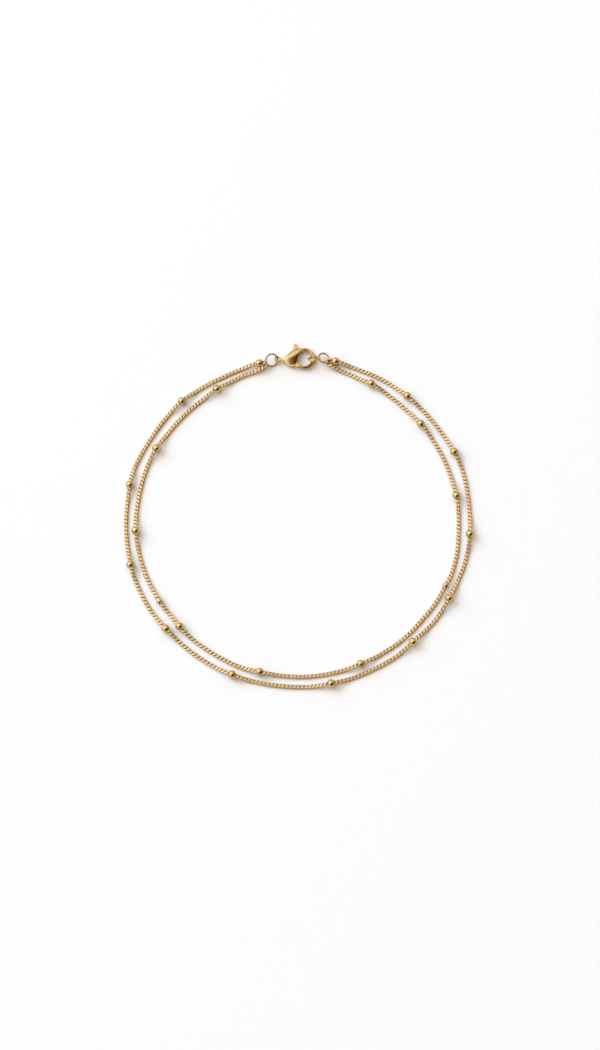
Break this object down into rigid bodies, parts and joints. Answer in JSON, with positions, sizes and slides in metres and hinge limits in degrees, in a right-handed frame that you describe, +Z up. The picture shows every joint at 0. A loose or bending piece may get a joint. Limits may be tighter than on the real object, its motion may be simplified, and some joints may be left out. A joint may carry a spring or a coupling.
{
  "type": "beaded chain necklace",
  "caption": "Two strands of fine curb chain with smooth round beads spaced along them, joined by a lobster clasp and jump rings, lying flat as a closed loop.",
  "frame": {"origin": "on the surface the necklace lies on, under the middle of its whole outline", "axes": "+Z up out of that surface, +Y from the front of the loop towards the clasp at the nape, +X from the clasp's tail eye towards its hook"},
  "size_m": [0.1258, 0.1284, 0.004],
  "materials": {
    "chain_gold": "gold plated, bright polished, flat-cut links",
    "bead_gold": "gold plated, mirror polished",
    "clasp_gold": "gold plated, polished casting",
    "ring_gold": "gold plated, polished drawn wire"
  },
  "bodies": {
    "necklace": {"chain_outer": "chain_gold", "chain_inner": "chain_gold", "bead_outer_01": "bead_gold", "bead_outer_02": "bead_gold", "bead_outer_03": "bead_gold", "bead_outer_04": "bead_gold", "bead_outer_05": "bead_gold", "bead_outer_06": "bead_gold", "bead_outer_07": "bead_gold", "bead_outer_08": "bead_gold", "bead_outer_09": "bead_gold", "bead_outer_10": "bead_gold", "bead_outer_11": "bead_gold", "bead_outer_12": "bead_gold", "bead_outer_13": "bead_gold", "bead_inner_01": "bead_gold", "bead_inner_02": "bead_gold", "bead_inner_03": "bead_gold", "bead_inner_04": "bead_gold", "bead_inner_05": "bead_gold", "bead_inner_06": "bead_gold", "bead_inner_07": "bead_gold", "bead_inner_08": "bead_gold", "bead_inner_09": "bead_gold", "bead_inner_10": "bead_gold", "bead_inner_11": "bead_gold", "clasp_body": "clasp_gold", "ring_tail": "ring_gold", "ring_hook": "ring_gold", "ring_end": "ring_gold", "end_link_outer_left": "chain_gold", "end_link_inner_left": "chain_gold", "end_link_outer_right": "chain_gold", "end_link_inner_right": "chain_gold"},
    "lever": {"clasp_lever": "clasp_gold"}
  },
  "joints": [
    {"name": "clasp_lever", "type": "hinge", "parent": "necklace", "child": "lever", "pos_m": [-0.0022, 0.05865, 0.0012], "axis": [0, 0, 1], "range_deg": [0, 25], "stiffness_Nm_per_rad": 0.008, "springref_deg": -20.05}
  ]
}
